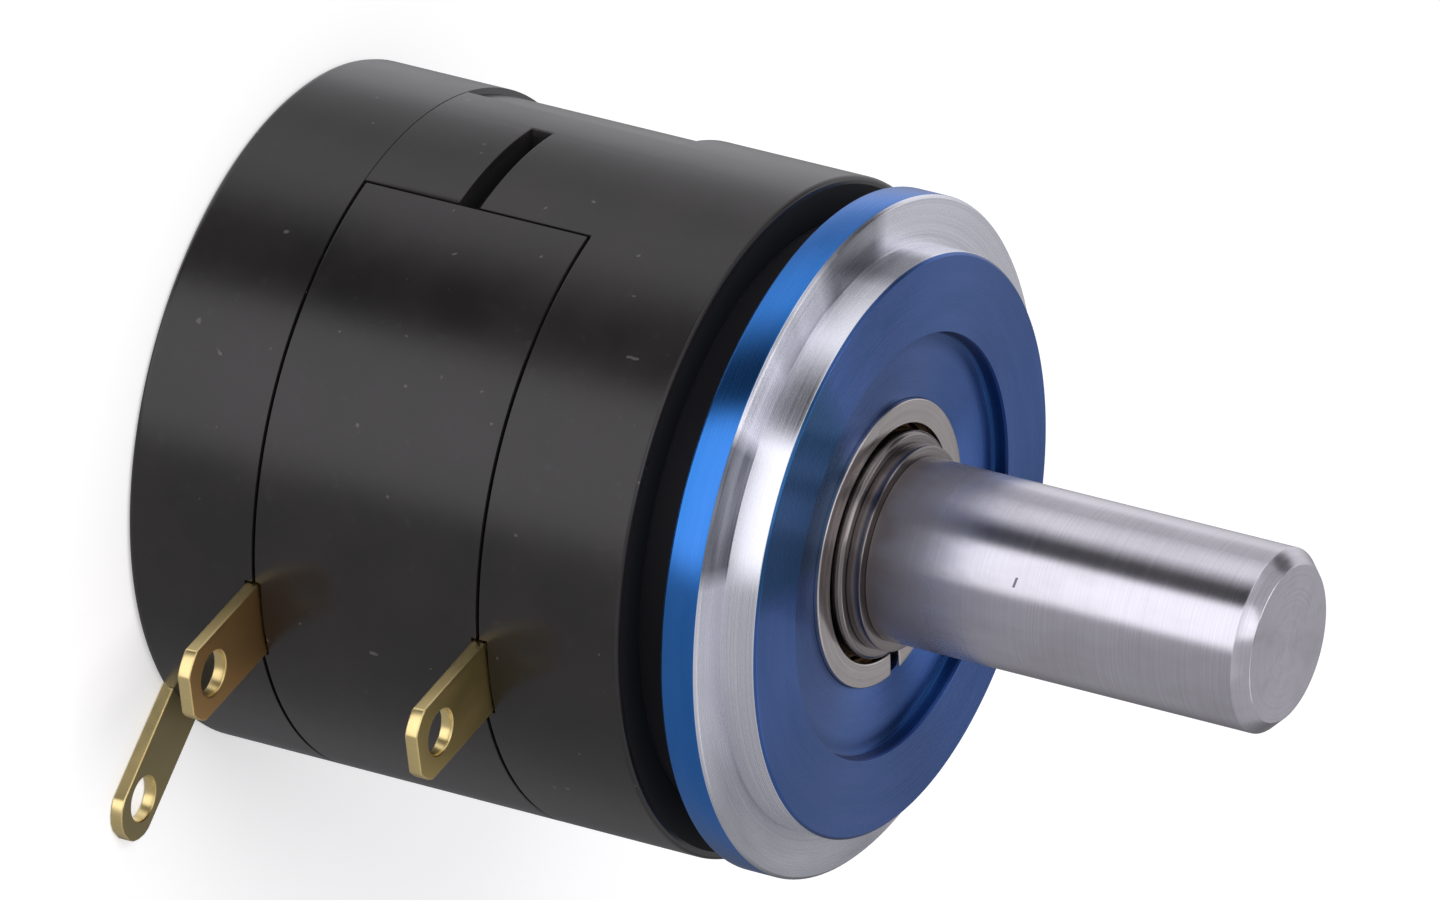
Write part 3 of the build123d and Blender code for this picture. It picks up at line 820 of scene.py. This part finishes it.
def cut(piece, tool, operation="DIFFERENCE"):
    """Take a tool's shape out of a piece, or join it on, then drop the tool."""
    activate(piece)
    boolean = piece.modifiers.new("cut", "BOOLEAN")
    boolean.object = tool
    boolean.operation = operation
    boolean.solver = "EXACT"
    bpy.ops.object.modifier_apply(modifier=boolean.name)
    bpy.data.objects.remove(tool)


def open_edges(piece):
    shape = bmesh.new()
    shape.from_mesh(piece.data)
    count = sum(1 for edge in shape.edges if not edge.is_manifold)
    shape.free()
    return count


print("open edges in the flange:", open_edges(flange))

# %% Mould the tube
SEAM_GAP = 0.05 * MM
FRONT_SEAM = INSERT_FRONT + SEAM_GAP
REAR_SEAM = HOUSING_BACK
LIP_R = BORE_R + 0.7 * MM
LIP_ROOM = REAR_SEAM + 0.75 * MM
PAST = 1 * MM
OUTSIDE = BODY_R + PAST
INSIDE = BORE_R - PAST
BEHIND = REAR_SEAM - PAST
WINDOW_START, WINDOW_SWEEP = -170.0, 160.0
SLOT_START, SLOT_SWEEP = WINDOW_START - 24.5, 25.5
SLOT_Z = REAR_SEAM + 3.45 * MM
SLOT_W = 0.75 * MM
SLOT_FLOOR_R = BODY_R - 1 * MM
LABEL_FLOOR_R = BODY_R - 0.2 * MM
LABEL_FRONT = FRONT_SEAM - 0.4 * MM
LABEL_START, LABEL_SWEEP = 24.0, 132.0
housing_profile = [
    (BORE_R, BODY_FRONT),
    (BODY_R - CHAMFER, BODY_FRONT),
    (BODY_R, BODY_FRONT - CHAMFER),
    (BODY_R, REAR_SEAM),
    (LIP_R, REAR_SEAM),
    (LIP_R, LIP_ROOM),
    (BORE_R, LIP_ROOM),
]
housing = turned("front_shell", housing_profile, ring=True)
for name, inner_r, low_z, high_z, start_deg, sweep_deg in (
    ("window", INSIDE, BEHIND, FRONT_SEAM, WINDOW_START, WINDOW_SWEEP),
    ("slot", SLOT_FLOOR_R, SLOT_Z, SLOT_Z + SLOT_W, SLOT_START, SLOT_SWEEP),
    ("panel", LABEL_FLOOR_R, BEHIND, LABEL_FRONT, LABEL_START, LABEL_SWEEP),
):
    cut(housing, sector(name, inner_r, OUTSIDE, low_z, high_z, start_deg, sweep_deg))
print("open edges in the housing:", open_edges(housing))

# %% [markdown]
# ## Side insert
#
# The insert is the curved shell that closes the window, with a hair's gap all round. It is
# swept like the window itself, a little smaller, so the two always match. Inside, a rebate
# makes room for the lip of the cap.

# %% Sweep the insert
TRIM_DEG = math.degrees(SEAM_GAP / BODY_R)
SEAM_EASE = 0.05 * MM
INSERT_STEP_DEG = 1.97
insert = sector(
    "side_panel",
    BORE_R,
    BODY_R,
    INSERT_BACK + SEAM_EASE,
    INSERT_FRONT - SEAM_EASE,
    WINDOW_START + TRIM_DEG,
    WINDOW_SWEEP - 2 * TRIM_DEG,
    step_deg=INSERT_STEP_DEG,
)
cut(insert, turned("rebate", washer(INSIDE, LIP_R, BEHIND, LIP_ROOM), ring=True))
print("open edges in the insert:", open_edges(insert))

# %% [markdown]
# ## Rear cap
#
# The cap is a cup with its rim rounded and a boss in its middle that holds the rear bearing.
# It is one profile from the back round to the pocket's floor, and the two open rims that are
# left get a flat face each.

# %% Turn the cap
CAP_FLOOR = CAP_BACK + 1.45 * MM
CAP_LIP_R = BORE_R + 0.65 * MM
BOSS_R = SEAT_R + 0.75 * MM
BOSS_FRONT = ends("slip_ring")[0] - 0.15 * MM
POCKET_FLOOR = ends("preload_washer")[0]
RIM = 0.3 * MM
cap_profile = [
    (BODY_R - RIM, CAP_BACK),
    (BODY_R - 0.5 * RIM, CAP_BACK + 0.13 * RIM),
    (BODY_R - 0.13 * RIM, CAP_BACK + 0.5 * RIM),
    (BODY_R, CAP_BACK + RIM),
    (BODY_R, REAR_SEAM),
    (CAP_LIP_R, REAR_SEAM),
    (CAP_LIP_R, LIP_TOP),
    (BORE_R, LIP_TOP),
    (BORE_R, CAP_FLOOR),
    (BOSS_R, CAP_FLOOR),
    (BOSS_R, BOSS_FRONT),
    (SEAT_R, BOSS_FRONT),
    (SEAT_R, POCKET_FLOOR),
]
cap = turned("rear_cup", cap_profile)
print("open edges in the cap:", open_edges(cap))

# %% [markdown]
# ## Notches for the end lugs
#
# Each end lug leaves the case through a notch that is shared by the two pieces at its seam.
# A notch modelled in each piece could drift apart, so one tool cuts both.

# %% Cut the notches
LUG_T = 0.45 * MM
LUG_W = 2.7 * MM
LUG_ROOM = 0.1 * MM
NOTCH_DEPTH = 5 * MM


def block(name, centre, size, turn=0.0):
    """A plain block, turned about the axis with its centre, to cut with or to shape further."""
    deselect_all()
    place = Matrix.Rotation(turn, 3, "Z") @ Vector(centre)
    bpy.ops.mesh.primitive_cube_add(size=1, location=place, rotation=(0, 0, turn))
    tool = bpy.context.object
    tool.name = tool.data.name = name
    tool.scale = size
    apply_place(tool)
    return tool


for shell, seam in (
    (housing, FRONT_SEAM),
    (insert, FRONT_SEAM),
    (insert, REAR_SEAM),
    (cap, REAR_SEAM),
):
    notch_at = (0, -INSIDE - NOTCH_DEPTH / 2, seam)
    cut(shell, block("notch", notch_at, (LUG_W + LUG_ROOM, NOTCH_DEPTH, LUG_T + LUG_ROOM)))
print("notches are %.2f mm wide" % ((LUG_W + LUG_ROOM) / MM))

# %% [markdown]
# ## The wiper lug's channel
#
# The third lug lies in a channel in the rear face, thirty degrees round from the first two.
# Its rivet comes up through the floor of the channel. With these cuts made, the three mouldings
# are whole, so they get their eased edges and their finish together.

# %% Channel and rivet hole
WIPER_TURN = math.radians(-60)
WIPER_W = 2.2 * MM
RIVET_AT = BORE_R - 1.7 * MM
RIVET_R = 0.5 * MM
WIPER_START = RIVET_AT - WIPER_W / 2
CHANNEL_START = WIPER_START - LUG_ROOM / 2
CHANNEL_LEN = OUTSIDE - CHANNEL_START
DRILL_SIDES = 64
SHELL_SMOOTH = math.radians(30)


def drill(piece, centre, radius, length, turn=0.0):
    """Make a round hole along Z, its centre turned about the axis."""
    deselect_all()
    place = Matrix.Rotation(turn, 3, "Z") @ Vector(centre)
    bpy.ops.mesh.primitive_cylinder_add(
        vertices=DRILL_SIDES, radius=radius, depth=length, location=place, rotation=(0, 0, turn)
    )
    tool = bpy.context.object
    apply_place(tool)
    cut(piece, tool)


channel_at = (CHANNEL_START + CHANNEL_LEN / 2, 0, CAP_BACK)
cut(cap, block("channel", channel_at, (CHANNEL_LEN, WIPER_W + LUG_ROOM, 2 * LUG_T), WIPER_TURN))
drill(cap, (RIVET_AT, 0, CAP_BACK), RIVET_R + FIT, 6 * MM, WIPER_TURN)
for shell, node in ((housing, "front_housing"), (insert, "side_insert"), (cap, "rear_cap")):
    bevelled(shell, 0.05 * MM)
    finished(shell, "housing", "moulded_body", node, smooth=SHELL_SMOOTH)

# %% [markdown]
# ## End lugs
#
# The lugs are blanked from gold-plated strip. Each starts as a block, loses its two outer
# corners to a bevel, is punched, and gets its edges eased as the press leaves them. A narrow
# tongue runs on inwards to the element.


# %% Round the tip of a plate
def round_tip(piece, direction, amount, profile, segments):
    """Bevel the upright edges of a plate that lie furthest along a direction."""
    edit(piece, "EDGE")
    shape = bmesh.from_edit_mesh(piece.data)
    furthest = max(vert.co.dot(direction) for vert in shape.verts)
    for item in (*shape.faces, *shape.edges, *shape.verts):
        item.select_set(False)
    for side in shape.edges:
        upright = abs((side.verts[0].co - side.verts[1].co).normalized().z) > 0.9
        at_tip = min(vert.co.dot(direction) for vert in side.verts) > furthest - FIT
        if upright and at_tip:
            side.select_set(True)
    bmesh.update_edit_mesh(piece.data)
    bpy.ops.mesh.bevel(
        offset=amount, offset_type="WIDTH", segments=segments, profile=profile, affect="EDGES"
    )
    leave_edit()


CORNER = math.sqrt(2)
print("a corner of 1 mm is bevelled %.2f mm wide" % CORNER)

# %% Stamp the end lugs
LUG_REACH = BODY_R + 4.4 * MM
LUG_CORNER = 0.65 * MM
HOLE_R = 0.75 * MM
HOLE_INSET = 1.4 * MM
ELEMENT_R = BORE_R - 0.65 * MM
TONGUE_W = 1.1 * MM
TONGUE_LEN = BORE_R - ELEMENT_R + 0.2 * MM
EASE = 0.06 * MM
for name, node, seam, side in (
    ("front_end_lug", "ccw_terminal", FRONT_SEAM, 1),
    ("rear_end_lug", "cw_terminal", REAR_SEAM, -1),
):
    lug_len = LUG_REACH - BORE_R
    lug = block(name, (0, -BORE_R - lug_len / 2, seam), (LUG_W, lug_len, LUG_T))
    round_tip(lug, Vector((0, -1, 0)), LUG_CORNER * CORNER, profile=0.32, segments=4)
    tongue_at = (side * (TONGUE_W / 2 + 0.03 * MM), -ELEMENT_R - TONGUE_LEN / 2, seam)
    cut(lug, block("tongue", tongue_at, (TONGUE_W, TONGUE_LEN, LUG_T)), "UNION")
    drill(lug, (0, -LUG_REACH + HOLE_INSET, seam), HOLE_R, 3 * LUG_T)
    bevelled(lug, EASE, 3)
    finished(lug, "housing", "gold_plate", node)

# %% [markdown]
# ## Wiper lug and its rivet
#
# The wiper's lug is slimmer, and its inner end is round, as it closes round the rivet. It is
# one block with both ends rounded, because two shapes that are joined leave thin slivers. The
# rivet is turned on the axis, where the profile is easy, and then moved to its place.

# %% Stamp the wiper lug
WIPER_REACH = BODY_R + 4.8 * MM
WIPER_Z = CAP_BACK + LUG_T / 2
OUTWARDS = Vector((math.cos(WIPER_TURN), math.sin(WIPER_TURN), 0))
wiper_len = WIPER_REACH - WIPER_START
wiper_at = (WIPER_START + wiper_len / 2, 0, WIPER_Z)
wiper_lug = block("wiper_lug", wiper_at, (wiper_len, WIPER_W, LUG_T), WIPER_TURN)
round_tip(wiper_lug, OUTWARDS, 0.85 * MM * CORNER, profile=0.42, segments=4)
round_tip(wiper_lug, -OUTWARDS, 0.48 * WIPER_W * CORNER, profile=0.5, segments=10)
drill(wiper_lug, (WIPER_REACH - HOLE_INSET, 0, WIPER_Z), HOLE_R, 3 * LUG_T, WIPER_TURN)
drill(wiper_lug, (RIVET_AT, 0, WIPER_Z), RIVET_R + FIT, 3 * LUG_T, WIPER_TURN)
bevelled(wiper_lug, EASE, 3)
finished(wiper_lug, "housing", "gold_plate", "wiper_terminal")

# %% Set the rivet
RIVET_BACK, RIVET_TOP = ends("terminal_rivet")
HEAD_R = 2 * RIVET_R
HEAD_BACK = RIVET_TOP - 0.2 * MM
rivet_profile = [
    (RIVET_R, RIVET_BACK),
    (RIVET_R, HEAD_BACK),
    (HEAD_R, HEAD_BACK),
    (HEAD_R, RIVET_TOP),
]
rivet = turned("lug_rivet", rivet_profile, segments=64)
bevelled(rivet, EASE, 3)
edit(rivet)
bpy.ops.mesh.select_all(action="SELECT")
bpy.ops.transform.translate(value=OUTWARDS * RIVET_AT)
leave_edit()
finished(rivet, "housing", "gold_plate", "terminal_rivet")

# %% [markdown]
# ## Shaft
#
# The shaft is ground bar with a plain chamfer at its tip, a groove for the clip and a thicker
# stretch behind the front bearing. All of it is one profile, from the tip to the rear end.

# %% Turn the shaft
CLIP_BACK, CLIP_FRONT = ends("shaft_clip")
CLIP_GROOVE_R = 2.75 * MM
COLLAR_R = 3.6 * MM
COLLAR_FRONT = ends("front_inner_ring")[0]
HUB_FRONT = ends("rotor_hub")[1]
TIP_CHAMFER = 0.45 * MM
SMALL_SEGMENTS = 128
SMALL_BREAK = 0.03 * MM
shaft_profile = [
    (SHAFT_R - TIP_CHAMFER, SHAFT_TIP),
    (SHAFT_R, SHAFT_TIP - TIP_CHAMFER),
    (SHAFT_R, CLIP_FRONT),
    (CLIP_GROOVE_R, CLIP_FRONT),
    (CLIP_GROOVE_R, CLIP_BACK),
    (SHAFT_R, CLIP_BACK),
    (SHAFT_R, COLLAR_FRONT),
    (COLLAR_R, COLLAR_FRONT),
    (COLLAR_R, HUB_FRONT),
    (SHAFT_R, HUB_FRONT),
    (SHAFT_R, SHAFT_BACK),
]
shaft = turned("ground_shaft", shaft_profile, segments=SMALL_SEGMENTS)
bevelled(shaft, SMALL_BREAK)
finished(shaft, "rotor", "shaft_steel", "shaft")

# %% [markdown]
# ## Rings at the foot of the shaft
#
# Round the shaft's foot stand the split ring that keeps the front bearing in the flange, the
# spacer, and the clip in its groove. They are turned, and the gap in the ring and in the clip
# is cut with a block.

# %% Split ring
RING_BACK, RING_FRONT = ends("retaining_ring")
RING_INNER_R = 3.9 * MM
RING_GAP_TURN = math.radians(-6)
RING_GAP_W = 0.55 * MM
ring = turned("split_ring", washer(RING_INNER_R, BEARING_R, RING_FRONT, RING_BACK), ring=True)
gap_at = (BEARING_R, 0, (RING_BACK + RING_FRONT) / 2)
cut(ring, block("ring_gap", gap_at, (BEARING_R, RING_GAP_W, 2 * MM), RING_GAP_TURN))
bevelled(ring, 0.05 * MM, 3)
finished(ring, "housing", "nickel_ring", "retaining_ring")

# %% Spacer and clip
SPACER_BACK, SPACER_FRONT = ends("front_spacer")
spacer_profile = [
    (SHAFT_R + FIT, SPACER_FRONT),
    (SPACER_R - CHAMFER, SPACER_FRONT),
    (SPACER_R, SPACER_FRONT - CHAMFER),
    (SPACER_R, SPACER_BACK),
    (SHAFT_R + FIT, SPACER_BACK),
]
spacer = turned("foot_spacer", spacer_profile, segments=SMALL_SEGMENTS, ring=True)
bevelled(spacer, SMALL_BREAK)
finished(spacer, "rotor", "collar_steel", "front_spacer")

CLIP_SEGMENTS = 90
CLIP_GAP_W = 1.2 * MM
clip_profile = washer(CLIP_GROOVE_R + FIT, CLIP_R, CLIP_FRONT, CLIP_BACK)
clip = turned("groove_clip", clip_profile, segments=CLIP_SEGMENTS, ring=True)
cut(clip, block("clip_gap", (0, CLIP_R, CLIP_BACK), (CLIP_GAP_W, CLIP_R, 3 * MM)))
bevelled(clip, 0.04 * MM)
finished(clip, "rotor", "collar_steel", "shaft_clip")

# %% [markdown]
# ## Bearing balls
#
# The packed balls are cut from cubes to keep them light. True spheres stand for them here,
# on the same orbit, each set riding on its own body. A ball is all but hidden, so 24 segments
# are enough for it.

# %% Balls
BALL_R = 0.5 * MM
BALL_COUNT = 8
ORBIT_R = (SHAFT_R + BEARING_R) / 2
for end in ("front", "rear"):
    low, high = ends(end + "_balls")
    balls = []
    for index in range(BALL_COUNT):
        angle = 2 * math.pi * index / BALL_COUNT
        deselect_all()
        bpy.ops.mesh.primitive_uv_sphere_add(
            segments=24,
            ring_count=14,
            radius=BALL_R,
            location=(ORBIT_R * math.cos(angle), ORBIT_R * math.sin(angle), (low + high) / 2),
        )
        balls.append(bpy.context.object)
    deselect_all()
    for ball in balls:
        ball.select_set(True)
    bpy.context.view_layer.objects.active = balls[0]
    bpy.ops.object.join()
    ball_set = bpy.context.object
    ball_set.name = ball_set.data.name = end + "_ball_ring"
    apply_place(ball_set)
    finished(ball_set, end + "_ball_set", "bearing_steel", end + "_balls")

# %% [markdown]
# ## Floor
#
# A wide white disc just under the cap. It glows a little by itself, so it stays near white and
# still keeps the object's shadow, and it is left out of reflections, so that the metal shows
# the surround.

# %% Lay the floor
FLOOR_Z = CAP_BACK - 0.02 * MM
FLOOR_R = 3.0
deselect_all()
bpy.ops.mesh.primitive_circle_add(
    vertices=96, radius=FLOOR_R, location=(0, 0, FLOOR_Z), fill_type="NGON"
)
floor = bpy.context.object
floor.name = "floor"
floor_kit = Kit(bpy.data.materials.new("white_floor"))
floor_kit.set(
    Base_Color=(0.8, 0.8, 0.8, 1),
    Roughness=0.9,
    Specular_IOR_Level=0.0,
    Emission_Color=(1, 1, 1, 1),
    Emission_Strength=0.42,
)
floor.data.materials.append(floor_kit.owner)
floor.visible_glossy = False
print("floor at %.2f mm" % (FLOOR_Z / MM))

# %% [markdown]
# ## Surround
#
# Metal looks like what stands around it, so the surround matters more to it than the lamp.
# Matt surfaces get a plain pale grey from every side, and the camera sees white. Glossy rays
# meet a small light tent: below, bands of light and dark, which draw the long stripes on the
# shaft and the body, and above, panels that the flat faces mirror.

# %% What stands around
# Share of a turn, and light level.
LOW_BANDS = (
    (0.000, 0.06),
    (0.048, 0.06),
    (0.072, 1.45),
    (0.191, 1.45),
    (0.219, 0.41),
    (0.490, 0.35),
    (0.540, 0.25),
    (0.580, 0.16),
    (0.650, 0.24),
    (0.712, 0.74),
    (0.765, 1.00),
    (0.800, 0.66),
    (0.855, 0.58),
    (0.905, 0.98),
    (0.945, 1.02),
    (0.975, 0.40),
    (1.000, 0.06),
)
# Share of a turn from and to, height from and to, and light level.
HIGH_PANELS = (
    (0.486, 0.612, 0.66, 0.97, 1.10),
    (0.620, 0.662, 0.60, 1.10, 0.03),
    (0.660, 0.760, 0.28, 0.58, 0.90),
    (0.667, 0.750, 0.62, 0.72, 0.03),
    (0.667, 0.760, 0.75, 0.98, 3.00),
    (0.761, 0.840, 0.28, 0.62, 0.08),
    (0.915, 1.010, 0.28, 0.60, 1.30),
    (0.030, 0.190, 0.26, 0.80, 1.00),
    (0.190, 0.340, 0.26, 0.80, 0.62),
    (-0.02, 0.180, 0.80, 1.10, 1.60),
)
HIGH_LEVEL = 0.48
HIGH_START, HIGH_END = 0.22, 2.0
print("the tent has", len(LOW_BANDS), "stops below and", len(HIGH_PANELS), "panels above")


# %% Paint the surround
def between(wire, low, high, soft):
    """One inside a range, nothing outside it, with soft edges as wide as soft."""
    return ((wire - low) / soft).clamped() * ((high - wire) / soft).clamped()


def painted_tent(kit):
    """The light that a glossy ray meets, by its direction."""
    x, y, z = kit.parts(kit.node("ShaderNodeTexCoord", {}, {}, "Generated"))
    around = y.azimuth(x) / (2 * math.pi) + 0.5
    high = HIGH_LEVEL
    for low_turn, high_turn, low_z, high_z, level in HIGH_PANELS:
        panel = between(around, low_turn, high_turn, 0.012) * between(z, low_z, high_z, 0.04)
        high = high + panel * (level - HIGH_LEVEL)
    is_high = between(z, HIGH_START, HIGH_END, 0.08)
    return kit.mix(is_high, kit.ramp(around, *LOW_BANDS), kit.join(high, high, high))


def make_surround():
    world = bpy.data.worlds.new("tent")
    bpy.context.scene.world = world
    kit = Kit(world)
    is_camera = kit.node("ShaderNodeLightPath", {}, {}, "Is Camera Ray")
    is_glossy = kit.node("ShaderNodeLightPath", {}, {}, "Is Glossy Ray")
    glow = kit.mix(is_glossy, (0.62, 0.61, 0.63, 1), painted_tent(kit))
    cool = kit.mix(1.0, glow, (1.0, 0.985, 1.025, 1), "MULTIPLY")
    shown = kit.mix(is_camera, kit.mix(is_glossy, glow, cool), (1, 1, 1, 1))
    background = kit.tree.nodes["Background"]
    kit.tree.links.new(shown.socket, background.inputs["Color"])
    background.inputs["Strength"].default_value = 1.0
    world.cycles.sampling_method = "NONE"
    return world


print("surround has", len(make_surround().node_tree.nodes), "nodes")

# %% [markdown]
# ## Lamp and camera
#
# One soft disc of light above one side of the object gives the shadow on the other. It is left
# out of reflections, as the surround already has the panels that the metal mirrors. The camera
# stands more than half a metre away with a long lens, so the case hardly narrows with distance.
# It is given by its own right and up directions.

# %% Hang the lamp
LAMP_SIDE = Vector((-0.75, -0.25, 0.75)).normalized()
lamp_data = bpy.data.lights.new("key", "AREA")
lamp_data.shape = "DISK"
lamp_data.size = 0.22
lamp_data.energy = 0.55
lamp = bpy.data.objects.new("key", lamp_data)
bpy.context.scene.collection.objects.link(lamp)
lamp.location = LAMP_SIDE * 0.35
lamp.rotation_mode = "QUATERNION"
lamp.rotation_quaternion = LAMP_SIDE.to_track_quat("Z", "Y")
lamp.visible_glossy = False
print("lamp at", [round(v, 3) for v in lamp.location])

# %% Set up the camera
camera_data = bpy.data.cameras.new("camera")
camera_data.lens = 500
camera_data.sensor_width = 36
camera_data.clip_start = 0.01
camera_data.clip_end = 20
camera = bpy.data.objects.new("camera", camera_data)
bpy.context.scene.collection.objects.link(camera)
RIGHT = Vector((0.09080, 0.48274, 0.87105))
UP = Vector((-0.80908, 0.54573, -0.21811))
BACK = RIGHT.cross(UP).normalized()
CAMERA_AT = Vector((-369.246, -433.158, 273.174)) * MM
camera_turn = Matrix((RIGHT, UP, BACK)).transposed().to_4x4()
camera.matrix_world = Matrix.Translation(CAMERA_AT) @ camera_turn
bpy.context.scene.camera = camera
bpy.context.scene.view_settings.view_transform = "Standard"
print("camera is %.0f mm away" % (CAMERA_AT.length / MM))

# %% [markdown]
# ## Hand over
# ## Box of the packed model
# Finishing must not change the object's size. The box of the packed model, kept from the
# start, is printed in millimetres.

# %% Box of the packed model
low, high = CAD_BOX
print("CAD box", [round(v / MM, 3) for v in (*low, *high)])
